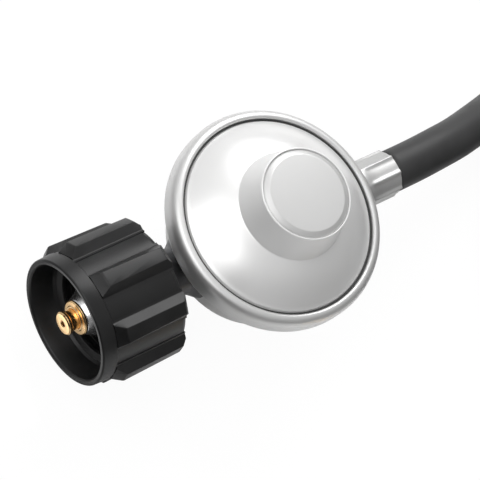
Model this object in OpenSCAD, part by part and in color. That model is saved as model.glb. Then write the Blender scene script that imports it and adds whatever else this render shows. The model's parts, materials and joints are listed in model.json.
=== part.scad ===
// Propane regulator with its tank coupling and low-pressure hose.
// Millimetres. The pipe axis runs along X, from the tank coupling at -X to the hose at +X.
// The diaphragm axis points up, along +Z. The part lies on the plane z = 0.

/* [Regulator disc] */
// Radius of the rolled rim at its widest
rim_r = 36; // [35:0.5:39]
// Width of the rolled rim, from its widest line in to the groove
rim_w = 3.6; // [3.2:0.1:4.2]
// Height of the diaphragm ledge above the pipe axis
ledge_z = 13.8; // [13:0.2:16]
// Thickness of the diaphragm's clamped edge
diaphragm_t = 1.4; // [1:0.1:2]
// Height of the rim's crest above the bonnet's flange
lip_h = 2.2; // [1.8:0.1:3]
// Thickness of the bonnet's flange and dome
bonnet_wall = 1.6; // [1.4:0.1:2]
// Height of the small step at the foot of the dome
dome_step = 2.1; // [1.5:0.1:3]
// Rise of the dome from its step to the foot of the tower
dome_rise = 8.2; // [7:0.2:11]
// Bulge of the dome's slope
dome_bulge = 0.8; // [0.4:0.1:1.4]
// Radius of the tower at its foot
tower_foot_r = 17.6; // [17:0.2:19]
// Radius of the tower at its top
tower_top_r = 15.1; // [15:0.1:16]
// Height of the tower
tower_h = 11.5; // [10.5:0.5:15]
// Radius of the cap that closes the tower
cap_r = 14.4; // [14:0.1:14.5]
// Thickness of the cap
cap_t = 2.4; // [2:0.1:3]
// How far the cap stands proud of the tower
cap_proud = 0.6; // [0.2:0.1:1.2]
// Rounding of the cap's edge
cap_edge = 1.2; // [0.6:0.1:1.4]
// Radius of the vent hole in the dome
vent_r = 2.5; // [2:0.1:3]
// Distance of the vent from the diaphragm axis
vent_reach = 20.4; // [20.4:0.1:26]
// Angle of the vent round the diaphragm axis
vent_turn = 12; // [-180:1:180]

/* [Body casting] */
// Radius of the diaphragm chamber
chamber_r = 25.5; // [24.5:0.5:26.5]
// Depth of the chamber's floor below the pipe axis
chamber_depth = 7.5; // [7.5:0.1:9]
// Thickness of the casting's floor
floor_t = 3; // [2.8:0.1:4]
// Thickness of the casting's side wall
casting_wall = 2.6; // [2:0.1:3.2]
// Radius of the inlet boss
inlet_boss_r = 8; // [7.8:0.1:8.6]
// Radius of the outlet boss
outlet_boss_r = 7.8; // [7:0.1:8.5]
// How far the outlet boss stands out past the rim
outlet_boss_out = 3.4; // [3:0.1:5]

/* [Tank coupling] */
// Gap between the coupling nut and the rim
nut_gap = 7.2; // [6.5:0.1:9]
// Length of the coupling nut
nut_len = 31; // [30:0.5:34]
// Outer radius of the nut's front collar
collar_r = 20.8; // [20.6:0.1:21.6]
// Length of the nut's front collar
collar_len = 5.1; // [4:0.1:7]
// Radius of the nut's open mouth
mouth_r = 18.7; // [18.4:0.1:19]
// Number of grip ribs
rib_count = 8; // [6:1:10]
// Outer radius of the grip ribs
rib_r = 23.7; // [23:0.1:25]
// Width of a rib at its outer face
rib_w = 5.1; // [4:0.1:6]
// Width of a rib at its foot
rib_foot_w = 8.4; // [7:0.1:9]
// Angle of the first rib above the horizontal
rib_turn = 36; // [0:1:44]
// Crest radius of the coupling thread
crest_r = 14.8; // [14.6:0.1:15.2]
// Root radius of the coupling thread
root_r = 17; // [16.6:0.1:17.4]
// Pitch of the coupling thread
thread_pitch = 5.08; // [4.8:0.02:5.3]
// Depth of the smooth mouth ahead of the thread
mouth_depth = 9.4; // [8.8:0.1:10]
// Thickness of the nut's rear wall
nut_back = 4; // [3.6:0.1:4.6]
// Travel of the nut along the nipple
nut_travel = 5; // [3:0.5:5.5]
// Radius of the nipple's stem
stem_r = 6.9; // [6.6:0.1:7]
// Radius of the thermal bushing's sleeve
sleeve_r = 7.95; // [7.8:0.05:8.2]
// Radius of the thermal bushing's flange
bushing_r = 14.2; // [13.5:0.1:14.4]
// Length of the thermal bushing's flange
bushing_len = 8; // [6:0.5:9]
// Radius of the nipple's shoulder
shoulder_r = 11; // [10.2:0.1:12]
// Length of the nipple's sealing cone
cone_len = 10; // [9:0.1:10.6]

/* [Probe] */
// Radius of the brass probe's head
probe_head_r = 3.85; // [3.6:0.05:4.3]
// Thickness of the probe's head
probe_head_t = 1.5; // [1.2:0.1:2]
// Radius of the probe's neck
probe_neck_r = 3.2; // [2.9:0.05:3.4]
// Radius of the hole through the probe
probe_hole_r = 1; // [0.6:0.1:1.4]
// Radius of the brass flange behind the probe
probe_flange_r = 5.7; // [5.4:0.1:6]
// Thickness of the brass flange
probe_flange_t = 1; // [0.8:0.1:1.4]
// Visible length of the probe's neck
probe_neck_len = 3; // [2.8:0.1:3.6]
// Travel of the probe
probe_travel = 2.5; // [1.5:0.1:2.6]

/* [Valve] */
// Lift of the diaphragm from open to shut
lift = 1.6; // [1:0.1:1.8]
// Distance of the lever's pin from the diaphragm axis
lever_reach = 8.8; // [8.6:0.1:9.4]
// Depth of the lever's pin below the pipe axis
lever_drop = 4.5; // [4.3:0.1:4.8]
// Radius of the lever's pin
pin_r = 0.8; // [0.6:0.05:0.85]
// Radius of the valve carriage
carriage_r = 2.9; // [2.7:0.05:2.9]
// Gap between the valve pad and the orifice with the valve open
valve_gap = 0.85; // [0.8:0.05:1.3]
// Mean radius of the main spring
spring_r = 8.5; // [7:0.5:9.5]
// Radius of the main spring's wire
spring_wire_r = 0.8; // [0.6:0.05:1]

/* [Hose] */
// Outer diameter of the hose
hose_d = 14.5; // [14.1:0.1:14.6]
// Radius of the hose's bore
hose_bore_r = 4; // [3.6:0.1:4.2]
// Length of a crimped ferrule
ferrule_len = 13.9; // [12:0.1:18]
// Radius over a ferrule's crimp ridges
ferrule_ridge_r = 8.2; // [8:0.1:8.6]
// Radius at the foot of the crimp ridges
ferrule_r = 7.7; // [7.6:0.05:7.8]
// Number of crimp ridges
ridge_count = 8; // [6:1:10]
// Radius of the coil's outer turn
coil_r = 78.4; // [78.2:0.2:79.2]
// Radial step from one turn of the coil to the next
coil_pitch = 15; // [15:0.1:15.4]
// Height step from the coil's lower layer to its upper layer
coil_step = 15; // [15:0.1:15.6]
// Thickness of the coil's ties
tie_t = 0.9; // [0.6:0.1:1]
// Width of the coil's ties
tie_w = 3.6; // [2.5:0.1:5]

/* [Flare nut] */
// Width of the flare nut across its flats
flare_af = 19.05; // [18.8:0.05:19.1]
// Length of the flare nut
flare_len = 20; // [18:0.5:24]
// Radius of the flare nut's thread
flare_r = 7.2; // [7.1:0.05:7.4]
// Length of the flare nut's thread
flare_thread = 10; // [8:0.1:10]

/* [Hidden] */
$fn = 64;
// Clearances: running fit, fit of fixed pieces, and air between moving pieces
run = 0.05;
seat = 0.05;
air = 0.3;

// Heights of the disc's stack above the pipe axis
flange_z = ledge_z + diaphragm_t;
flange_top = flange_z + bonnet_wall;
crest_z = flange_top + lip_h;
widest_z = crest_z - rim_w - 0.2;
step_z = flange_top + dome_step;
tower_z = step_z + dome_rise;
tower_top = tower_z + tower_h;
cap_top = tower_top + cap_proud;
cap_z = cap_top - cap_t;

// Radii of the disc
groove_r = rim_r - rim_w;
seat_r = groove_r + 1.1;
dome_r = groove_r - 0.3;
bore_r = 12.6;
cap_seat = 0.9;

// How deep each thread crest is rooted in the nut's wall
crest_root = 0.6;

// Places along the pipe axis, from the diaphragm axis
nut_rear = -rim_r - nut_gap;
nut_front = nut_rear - nut_len;
nut_floor = nut_rear - nut_back;
collar_rear = nut_front + collar_len;
thread_front = nut_front + mouth_depth;
sleeve_end = nut_rear + 0.2;
inlet_boss_end = sleeve_end + nut_travel + 0.5;
bushing_rear = nut_floor - air;
bushing_front = bushing_rear - bushing_len;
shoulder_rear = bushing_front - air;
shoulder_front = shoulder_rear - 3.4;
nose_x = shoulder_front - cone_len;
flange_front = nose_x - probe_flange_t;
probe_rear = flange_front - probe_neck_len;
probe_front = probe_rear - probe_head_t;
chamber_x = sqrt(pow(chamber_r, 2) - pow(inlet_boss_r, 2));
nipple_end = -chamber_x - casting_wall - 1.2;
outlet_boss_end = rim_r + outlet_boss_out;
barb_collar = 2;
ferrule_x = outlet_boss_end + barb_collar + air;
hose_x = ferrule_x + ferrule_len;
barb_end = hose_x - 0.8;
barb_thread_r = 5;
barb_thread_len = 9;
barb_r = hose_bore_r + 0.3;
barb_peak_r = barb_r + 0.4;
barb_hex_r = outlet_boss_r - 0.8;
grip_out_r = ferrule_r - 0.75;
grip_in_r = barb_peak_r + seat;

// Valve works, from the diaphragm axis along the pipe axis
short_arm_t = 1.2;
lever_t = 1.2;
lever_w = 2.6;
hub_r = pin_r + 0.6;
carriage_rear = -lever_reach - short_arm_t / 2 - 0.2;
carriage_len = 4;
carriage_front = carriage_rear - carriage_len;
pad_out = 0.75;
pad_t = 1.6;
pad_r = carriage_r - 0.7;
seat_x = carriage_front - pad_out - valve_gap;
orifice_head_x = seat_x - 1.3;
orifice_rear = orifice_head_x - 1.5;
orifice_r = 3;
bracket_t = 1.3;
bracket_front = seat_x + 0.6;
bracket_rear = -3.2;
bracket_w = 16;
guide_front = carriage_front + 1;
guide_t = 2;
ear_t = 1.3;
ear_y = lever_w / 2 + air;
screw_x = -lever_reach;
screw_y = bracket_w / 2 - 2;
screw_r = 1.2;
post_r = 2.6;
rivet_r = 2;
plate_t = 1.2;
plate_r = 18.4;
plate_top = flange_z + plate_t;
screw_top = cap_z - 1;
screw_t = 4;
spring_top = screw_top - screw_t;
post_slot = lever_t + 2 * (air + post_r * lift / lever_reach);

// Hull of the part along X and the lowest rib of the nut, which set the frame
disc_x = -(probe_front + barb_end) / 2;
rib_step = 360 / rib_count;
low_ribs = [for (k = [0 : rib_count - 1]) for (s = [-1, 1])
    let (a = rib_turn + k * rib_step) rib_r * sin(a) + s * rib_w / 2 * cos(a)];
axis_z = -min(low_ribs);

// Far end's pieces, from the end of the hose outwards
flare_front = ferrule_len + 2.4;
flare_back = 4.6;
flare_mouth = flare_front + flare_len - 0.8;
neck_r = 5;
nose_base = flare_front + flare_back + 1.1;

// Hose: its free stretches and its coil
hose_r = hose_d / 2;
exit = [disc_x + hose_x, 0, axis_z];
coil_turns = 1.5;
coil_climb = 0.5;
coil_rings = 24;
coil_low = hose_r + tie_t + 0.05;
coil_at = [disc_x + 163, -69];
run_sides = 10;
coil_sides = 6;

// Route of the hose from its exit down to the coil, and from the coil to its end
run_route = [
    [12, 0.1, 0], [24, 0.7, -1], [34, 1.5, -2.9], [46, 3.3, -6],
    [58, 5.4, -9.5], [70, 7.6, -12.7], [82, 9.1, -14.9]
];
tail_route = [
    [-14, -0.3, -0.8], [-24, -0.4, -2.7], [-34, -0.1, -5.4], [-44, 0.8, -8.3],
    [-54, 2.2, -11], [-64, 3.6, -12.9]
];
tail_drop = [-74, 4.4];

// ---------- shared shapes ----------

// Puts a piece that is drawn round the crossing of the two axes in its place
module at_axes() translate([disc_x, 0, axis_z]) children();

// Revolves an outline of [radius, height] points round the diaphragm axis
module turned_z(outline) rotate_extrude($fn = 128) polygon(outline);

// Revolves an outline of [radius, x] points round the pipe axis
module turned_x(outline, fn = 96) rotate([0, 90, 0]) rotate_extrude($fn = fn) polygon(outline);

// A round bar along the pipe axis from one x to another
module bar(r, x0, x1, fn = 64) translate([x0, 0, 0]) rotate([0, 90, 0]) cylinder(r = r, h = x1 - x0, $fn = fn);

// Points of an arc
function arc(c, r, a0, a1, n = 6) =
    [for (i = [0 : n]) let (a = a0 + (a1 - a0) * i / n) c + r * [cos(a), sin(a)]];

// A hollow turned piece from an outer outline, less a bore right through
module bored_x(outline, r) difference() {
    turned_x(outline);
    bar(r, outline[0][1] - 50, outline[0][1] + 100);
}

// Sum of a list, unit vector, and an ease from 0 to 1
function unit(v) = v / norm(v);
function ease(u) = let (c = max(0, min(1, u))) c * c * (3 - 2 * c);

// Tangent at each point of a path, with the ends' own directions given
function heading(path, i, first, last) =
    i == 0 ? first : i == len(path) - 1 ? last : unit(path[i + 1] - path[i - 1]);

// One ring of a tube, flat side down
function ring(c, t, r, sides) =
    let (side = unit(cross(t, [0, 0, 1])), up = cross(side, t))
    [for (k = [0 : sides - 1]) let (a = 360 * (k + 0.5) / sides - 90)
        c + r * (cos(a) * side + sin(a) * up)];

// A closed tube along a path
module tube(path, r, sides, first, last) {
    rings = [for (i = [0 : len(path) - 1]) ring(path[i], heading(path, i, first, last), r, sides)];
    n = len(path);
    points = concat([for (q = rings) each q], [path[0], path[n - 1]]);
    wall = [for (i = [0 : n - 2]) for (k = [0 : sides - 1])
        let (a = i * sides + k, b = i * sides + (k + 1) % sides)
        each [[a, b, b + sides], [a, b + sides, a + sides]]];
    near = [for (k = [0 : sides - 1]) [n * sides, (k + 1) % sides, k]];
    far = [for (k = [0 : sides - 1])
        let (s = (n - 1) * sides) [n * sides + 1, s + k, s + (k + 1) % sides]];
    polyhedron(points = points, faces = concat(wall, near, far), convexity = 10);
}

// A compression spring about Z
module spring(r, wire_r, height, turns, sides = 6, rings = 10) {
    rise = (height - 2 * wire_r) / turns;
    path = [for (i = [0 : turns * rings]) let (t = i / rings)
        [r * cos(360 * t), r * sin(360 * t), wire_r + rise * t]];
    tube(path, wire_r * 0.96, sides, [0, 1, 0], [0, 1, 0]);
}

// ---------- regulator disc ----------

module body_casting() color("silver") at_axes() difference() {
    union() {
        turned_z(concat(
            [[0, -chamber_depth - floor_t]],
            arc([chamber_r + casting_wall - 4, -chamber_depth - floor_t + 4], 4, -90, 0),
            arc([chamber_r + casting_wall + 3, widest_z - 8.6], 3, 180, 90, 5),
            arc([rim_r - 3.2, widest_z - 2.4], 3.2, -90, 0),
            [for (a = [0 : 15 : 90])
                [groove_r + 0.8 + (rim_w - 0.8) * cos(a), widest_z + (crest_z - widest_z) * sin(a)]],
            [[groove_r + 0.2, crest_z - 0.2], [groove_r, crest_z - 0.8], [groove_r, flange_top + 0.02],
             [seat_r, flange_top + 0.02], [seat_r, ledge_z], [chamber_r, ledge_z],
             [chamber_r, -chamber_depth], [0, -chamber_depth]]
        ));
        // Inlet and outlet bosses, which end inside the side wall
        turned_x(concat([[0, inlet_boss_end], [inlet_boss_r, inlet_boss_end]],
            arc([inlet_boss_r + 3, -chamber_r - casting_wall - 3.2], 3, 180, 120, 3),
            [[inlet_boss_r + 1.5, -chamber_r - 0.8], [0, -chamber_r - 0.8]]));
        bar(outlet_boss_r, chamber_r + 0.8, outlet_boss_end);
        // Seat boss inside the chamber, which carries the orifice
        bar(5.2, -chamber_r - 0.9, orifice_rear);
        translate([-chamber_r - 0.4, -4, -chamber_depth - 0.5])
            cube([orifice_rear + chamber_r - 0.1, 8, chamber_depth - 1]);
    }
    // Inlet bore and outlet bore
    bar(stem_r - 0.3 + seat, inlet_boss_end - 1, nipple_end + 0.4);
    bar(2.6, nipple_end - 1, orifice_rear - 3);
    bar(orifice_r + seat, orifice_rear - 4.2, orifice_rear + 1);
    bar(barb_thread_r + seat, outlet_boss_end - barb_thread_len - 0.6, outlet_boss_end + 1);
    bar(3.2, chamber_r - 4, outlet_boss_end);
    // Blind holes for the bracket's screws
    for (s = [-1, 1]) translate([screw_x, s * screw_y, -chamber_depth - 2.2])
        cylinder(r = screw_r + seat, h = 3);
}

module bonnet() color("gainsboro") at_axes() difference() {
    turned_z(concat(
        [[dome_r - 1.4 - bonnet_wall, flange_z], [seat_r - seat, flange_z], [seat_r - seat, flange_top - 0.05],
         [dome_r + 0.2, flange_top - 0.05], [dome_r - 0.2, flange_top + 0.6]],
        arc([dome_r - 1.8, step_z - 1.6], 1.5, 15, 65, 3),
        dome_line(0),
        [[tower_top_r, tower_top - 0.7]],
        arc([tower_top_r - 0.55, tower_top - 0.55], 0.55, 0, 90, 3),
        [[cap_r + seat, tower_top], [cap_r + seat, cap_z - seat], [cap_r - cap_seat, cap_z - seat],
         [bore_r, cap_z - 1], [bore_r, tower_z + 1]],
        dome_line(bonnet_wall, true)
    ));
    vent_place() translate([0, 0, -4]) cylinder(r = vent_r + seat, h = 8);
}

// Slope of the dome from its edge up to the tower, or the same line moved in by a wall
function dome_line(wall, back = false) =
    let (r0 = dome_r - 1.4 - wall, r1 = tower_foot_r - wall * 0.8, z0 = step_z - wall * 1.1,
         z1 = tower_z - wall, n = 8,
         line = [for (i = [0 : n]) let (u = i / n)
            [r0 + (r1 - r0) * u, z0 + (z1 - z0) * u + dome_bulge * sin(180 * u)]])
    [for (i = [0 : n]) back ? line[n - i] : line[i]];

// The vent sits on the dome's slope, square to it
module vent_place() {
    run_r = dome_r - 1.4 - tower_foot_r;
    u = (dome_r - 1.4 - vent_reach) / run_r;
    z = step_z + dome_rise * u + dome_bulge * sin(180 * u);
    slope = atan2(dome_rise + dome_bulge * PI * cos(180 * u), run_r);
    rotate([0, 0, vent_turn]) translate([vent_reach, 0, z]) rotate([0, slope, 0]) children();
}

module cap() color("lightgray") at_axes() turned_z(concat(
    [[0, cap_z], [cap_r - 0.3, cap_z], [cap_r, cap_z + 0.3]],
    arc([cap_r - cap_edge, cap_top - cap_edge], cap_edge, 0, 90, 6),
    [[0, cap_top]]
));

module adjusting_screw() color("dimgray") at_axes() difference() {
    translate([0, 0, spring_top]) union() {
        cylinder(r = bore_r - run, h = screw_t);
        translate([0, 0, -1.4]) cylinder(r = spring_r - spring_wire_r - air, h = 1.5);
    }
    translate([0, 0, screw_top - 2.6]) cylinder(r = 4, h = 3, $fn = 6);
}

module vent_screen() color("gray") at_axes() vent_place() difference() {
    translate([0, 0, -0.9]) cylinder(r = vent_r, h = 0.7);
    for (x = [-1 : 1], y = [-1 : 1]) translate([x * 1.2, y * 1.2, -2]) cylinder(r = 0.35, h = 4, $fn = 16);
}

module main_spring() color("slategray") at_axes()
    translate([0, 0, plate_top + 0.1])
    spring(spring_r, spring_wire_r, spring_top - plate_top - 0.2, 6);

module diaphragm() color("saddlebrown") at_axes() {
    low = ledge_z + 0.02;
    top = flange_z - 0.02;
    mid = (plate_r + chamber_r) / 2;
    turned_z(concat(
        [[rivet_r + seat, low], [mid - 2.7, low]],
        arc([mid, top], 1.6, 180, 0, 8),
        [[mid + 2.7, low], [seat_r - air, low], [seat_r - air, top], [mid + 2.9, top]],
        arc([mid, top], 2.7, 15, 165, 8),
        [[mid - 2.9, top], [rivet_r + seat, top]]
    ));
}

module diaphragm_plate() color("silver") at_axes() difference() {
    turned_z([[0, flange_z], [plate_r - 1, flange_z], [plate_r - 1, flange_z + 0.6],
        [plate_r - 0.4, plate_top + 1.2], [plate_r - 1.4, plate_top + 1.2],
        [plate_r - 2.2, plate_top], [0, plate_top]]);
    translate([0, 0, flange_z - 1]) cylinder(r = rivet_r + seat, h = plate_t + 2);
}

module diaphragm_post() color("goldenrod") at_axes() difference() {
    union() {
        translate([0, 0, -lever_drop - post_slot / 2 - 1])
            cylinder(r = post_r, h = ledge_z + lever_drop + post_slot / 2 + 1);
        translate([0, 0, ledge_z - 1.2]) cylinder(r = 6, h = 1.2);
        translate([0, 0, ledge_z - 0.1]) cylinder(r = rivet_r, h = plate_top - ledge_z + 0.2);
        translate([0, 0, plate_top]) cylinder(r = rivet_r + 1.5, h = 1.2);
    }
    translate([-post_r - 1, -lever_w / 2 - air, -lever_drop - post_slot / 2])
        cube([2 * post_r + 2, lever_w + 2 * air, post_slot]);
}

// ---------- valve works ----------

module lever() color("gainsboro") at_axes() difference() {
    union() {
        translate([-lever_reach, lever_w / 2, -lever_drop]) rotate([90, 0, 0]) cylinder(r = hub_r, h = lever_w);
        translate([-lever_reach, -lever_w / 2, -lever_drop - lever_t / 2])
            cube([lever_reach + post_r - 0.4, lever_w, lever_t]);
        translate([-lever_reach - short_arm_t / 2, -lever_w / 2, -lever_drop])
            cube([short_arm_t, lever_w, lever_drop + 0.3]);
    }
    translate([-lever_reach, lever_w, -lever_drop]) rotate([90, 0, 0])
        cylinder(r = pin_r + run, h = 2 * lever_w);
}

module lever_pin() color("silver") at_axes()
    translate([-lever_reach, ear_y + ear_t, -lever_drop]) rotate([90, 0, 0])
    cylinder(r = pin_r, h = 2 * (ear_y + ear_t));

module lever_bracket() color("lightsteelblue") at_axes() difference() {
    union() {
        translate([bracket_front, -bracket_w / 2, -chamber_depth])
            cube([bracket_rear - bracket_front, bracket_w, bracket_t]);
        translate([guide_front, -5.2, -chamber_depth]) cube([guide_t, 10.4, chamber_depth + carriage_r + 1.2]);
        for (s = [-1, 1]) translate([-lever_reach - 1.8, s > 0 ? ear_y : -ear_y - ear_t, -chamber_depth])
            cube([3.6, ear_t, chamber_depth - lever_drop + pin_r + 0.8]);
    }
    bar(carriage_r + run, guide_front - 1, guide_front + guide_t + 1);
    translate([-lever_reach, ear_y + ear_t + 1, -lever_drop]) rotate([90, 0, 0])
        cylinder(r = pin_r + seat, h = 2 * (ear_y + ear_t) + 2);
    for (s = [-1, 1]) translate([screw_x, s * screw_y, -chamber_depth - 1])
        cylinder(r = screw_r + seat, h = bracket_t + 2);
}

module bracket_screws() color("silver") at_axes() for (s = [-1, 1])
    translate([screw_x, s * screw_y, -chamber_depth + bracket_t]) difference() {
        union() {
            cylinder(r = screw_r + 0.8, h = 1.2);
            translate([0, 0, -bracket_t - 2]) cylinder(r = screw_r, h = bracket_t + 2.1);
        }
        translate([-0.3, -2.5, 0.7]) cube([0.6, 5, 1]);
    }

module valve_carriage() color("goldenrod") at_axes() difference() {
    bar(carriage_r, carriage_front, carriage_rear);
    bar(pad_r + seat, carriage_front - 1, carriage_front + pad_t - pad_out + 0.02);
}

module valve_pad() color("black") at_axes()
    bar(pad_r, carriage_front - pad_out, carriage_front - pad_out + pad_t);

module orifice() color("goldenrod") at_axes() bored_x([
    [0, orifice_rear - 4], [orifice_r, orifice_rear - 4], [orifice_r, orifice_rear],
    [4.2, orifice_rear], [4.2, orifice_head_x], [2.2, orifice_head_x], [1.5, seat_x], [0, seat_x]
], 0.9);

// ---------- tank coupling ----------

module inlet_nipple() color("whitesmoke") at_axes() difference() {
    turned_x([
        [0, nose_x], [probe_flange_r - 0.2, nose_x], [probe_flange_r, nose_x + 0.3],
        [shoulder_r, shoulder_front], [shoulder_r, shoulder_rear], [stem_r, shoulder_rear],
        [stem_r, inlet_boss_end - 0.02], [stem_r - 0.3, inlet_boss_end - 0.02],
        [stem_r - 0.3, nipple_end], [0, nipple_end]
    ]);
    bar(2.6, nose_x - 1, nipple_end + 1);
    bar(4.6, nose_x - 1, nose_x + 16);
}

module probe_guide() color("burlywood") at_axes() difference() {
    turned_x([
        [0, flange_front - 0.35], [probe_neck_r + 0.7, flange_front - 0.35],
        [probe_neck_r + 1, flange_front], [probe_flange_r - 0.25, flange_front],
        [probe_flange_r, flange_front + 0.25], [probe_flange_r, nose_x], [4.6 - seat, nose_x],
        [4.6 - seat, nose_x + 6], [0, nose_x + 6]
    ]);
    bar(probe_neck_r + run, flange_front - 2, nose_x + 7);
}

module probe() color("burlywood") at_axes() difference() {
    union() {
        turned_x(concat(
            [[0, probe_front], [probe_head_r - 0.5, probe_front]],
            arc([probe_head_r - 0.5, probe_front + 0.5], 0.5, -90, 0, 3),
            [[probe_head_r, probe_rear - 0.35], [probe_head_r - 0.35, probe_rear],
             [probe_neck_r, probe_rear + 0.2], [probe_neck_r, nose_x + 6.3],
             [4.3, nose_x + 6.3], [4.3, nose_x + 7.3], [0, nose_x + 7.3]]));
    }
    bar(probe_hole_r, probe_front - 1, nose_x + 8);
}

module probe_spring() color("slategray") at_axes()
    translate([nose_x + 7.4, 0, 0]) rotate([0, 90, 0]) spring(3.4, 0.4, 8.4, 6);

module thermal_bushing() color("darkslategray") at_axes() bored_x([
    [0, bushing_front], [bushing_r - 0.6, bushing_front], [bushing_r, bushing_front + 0.6],
    [bushing_r, bushing_rear], [sleeve_r, bushing_rear], [sleeve_r, sleeve_end], [0, sleeve_end]
], stem_r + run);

// One crest of the coupling thread, as a ring inside the nut
module thread_crest(x) turned_x([
    [root_r + crest_root, x - 1.3], [root_r, x - 1.3], [crest_r, x - 0.7],
    [crest_r, x + 0.7], [root_r, x + 1.3], [root_r + crest_root, x + 1.3]
]);

module coupling_nut() color("#2b2b2b") at_axes() {
    crests = floor((nut_floor - thread_front - 1.4) / thread_pitch) + 1;
    difference() {
        union() {
            turned_x([
                [0, nut_front], [collar_r - 0.4, nut_front], [collar_r - 0.05, nut_front + 0.4],
                [collar_r + 0.15, collar_rear], [collar_r + 0.1, nut_rear - 0.8],
                [collar_r - 0.7, nut_rear], [0, nut_rear]
            ]);
            difference() {
                for (k = [0 : rib_count - 1]) rotate([rib_turn + k * rib_step, 0, 0]) rib();
                // Sloping front ends of the ribs, and their chamfered rear ends
                turned_x([[collar_r, collar_rear - 1], [rib_r + 3, collar_rear - 1],
                    [rib_r + 3, collar_rear + 6], [collar_r, collar_rear]]);
                turned_x([[collar_r - 0.5, nut_rear + 1], [rib_r + 3, nut_rear + 1],
                    [rib_r + 3, nut_rear - 3], [rib_r - 1.6, nut_rear]]);
            }
        }
        turned_x([
            [0, nut_front - 1], [mouth_r + 1, nut_front - 1], [mouth_r, nut_front + 0.3],
            [root_r + 0.6, thread_front - 1.5], [root_r, thread_front], [root_r, nut_floor], [0, nut_floor]
        ]);
        bar(sleeve_r + run, nut_floor - 1, nut_rear + 1);
    }
    for (i = [0 : crests - 1]) thread_crest(thread_front + 0.8 + i * thread_pitch);
}

// A grip rib along the pipe axis, standing out along +Y
module rib() translate([collar_rear - 1, 0, 0]) rotate([90, 0, 90]) linear_extrude(nut_rear - collar_rear + 1)
    polygon([[collar_r - 1.5, -rib_foot_w / 2], [collar_r - 0.2, -rib_foot_w / 2], [rib_r, -rib_w / 2],
        [rib_r, rib_w / 2], [collar_r - 0.2, rib_foot_w / 2], [collar_r - 1.5, rib_foot_w / 2]]);

// ---------- hose ends ----------

// A crimped ferrule from x = 0, with ridges between its crimped flats
module ferrule() {
    step = 360 / ridge_count;
    ridge = 3.6;
    foot = 6.5;
    outline = [for (k = [0 : ridge_count - 1]) let (a = 18 + k * step)
        each [for (p = [[-foot, ferrule_r], [-ridge, ferrule_ridge_r], [ridge, ferrule_ridge_r], [foot, ferrule_r]])
            p[1] * [cos(a + p[0]), sin(a + p[0])]]];
    difference() {
        rotate([90, 0, 90]) linear_extrude(ferrule_len) polygon(outline);
        bar(grip_out_r + seat, -1, ferrule_len + 1);
    }
}

// The crimped end of the hose, between the ferrule and the barb
module grip() difference() {
    bar(grip_out_r, 0, ferrule_len);
    bar(grip_in_r, -1, ferrule_len + 1);
}

// Outline of a barb of the given length that ends at x = 0, tip first
function barbs(length, teeth = 4) = concat(
    [[0, 0], [barb_r - 0.4, 0]],
    [for (i = [0 : teeth - 1]) let (x = -0.6 - i * (length - 1.2) / teeth, step = (length - 1.2) / teeth)
        each [[barb_peak_r, x - step * 0.7], [barb_r, x - step * 0.72]]],
    [[barb_r, -length]]
);

module hose_barb() color("darkkhaki") at_axes() difference() {
    union() {
        translate([barb_end, 0, 0])
            turned_x(concat(barbs(barb_end - ferrule_x + 0.3), [[0, -(barb_end - ferrule_x + 0.3)]]));
        bar(barb_hex_r, outlet_boss_end + 0.02, outlet_boss_end + barb_collar, 6);
        bar(barb_thread_r, outlet_boss_end - barb_thread_len, outlet_boss_end + 0.1);
    }
    bar(hose_bore_r - 0.9, outlet_boss_end - barb_thread_len - 1, barb_end + 1);
}

module crimp_ferrule() color("silver") at_axes() translate([ferrule_x, 0, 0]) ferrule();

module hose_grip() color("#262626") at_axes() translate([ferrule_x, 0, 0]) grip();

// Places the far end's pieces: x = 0 is the hose's end, and x grows away from the hose
module at_end() translate(tail_end) rotate([0, 0, 180]) children();

module end_ferrule() color("silver") at_end() ferrule();

module end_grip() color("#262626") at_end() grip();

module end_stem() color("darkkhaki") at_end() difference() {
    union() {
        translate([0.8, 0, 0]) rotate([0, 0, 180])
            turned_x(concat(barbs(ferrule_len - 0.8), [[0, -(ferrule_len - 0.8)]]));
        turned_x([
            [0, ferrule_len - 0.2], [barb_r, ferrule_len - 0.2], [barb_r, ferrule_len + air],
            [6.8, ferrule_len + air], [6.8, flare_front - air], [neck_r, flare_front - air],
            [neck_r, nose_base - 0.6], [6.6, nose_base - 0.2], [6.6, nose_base + 0.4],
            [3.6, nose_base + 3.4], [0, nose_base + 3.4]
        ]);
    }
    bar(2.6, -1, nose_base + 5);
}

module flare_nut() color("goldenrod") at_end() difference() {
    intersection() {
        rotate([30, 0, 0]) bar(flare_af / 2 / cos(30), flare_front, flare_front + flare_len, 6);
        turned_x([
            [0, flare_front], [flare_af / 2 - 0.2, flare_front],
            [flare_af / 2 / cos(30) + 0.1, flare_front + 1], [flare_af / 2 / cos(30) + 0.1, flare_front + flare_len - 1],
            [flare_af / 2 - 0.2, flare_front + flare_len], [0, flare_front + flare_len]
        ]);
    }
    turned_x([
        [0, flare_front + flare_back], [flare_r + 0.35, flare_front + flare_back],
        [flare_r + 0.35, flare_mouth - flare_thread], [flare_r, flare_mouth - flare_thread],
        [flare_r, flare_mouth], [flare_r + 1.2, flare_mouth + 0.9], [0, flare_mouth + 0.9]
    ]);
    bar(neck_r + run, flare_front - 1, flare_front + flare_back + 1);
}

// ---------- hose ----------

// Radius, height and place of the coil's centreline after a number of turns
function turn_r(t) = coil_r - coil_pitch * min(t, coil_turns - t);
function turn_z(t) = coil_low + coil_step * ease((t - (coil_turns - coil_climb) / 2) / coil_climb);
function turn_at(t) = [coil_at[0] + turn_r(t) * cos(90 - 360 * t),
    coil_at[1] + turn_r(t) * sin(90 - 360 * t), turn_z(t)];

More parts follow.
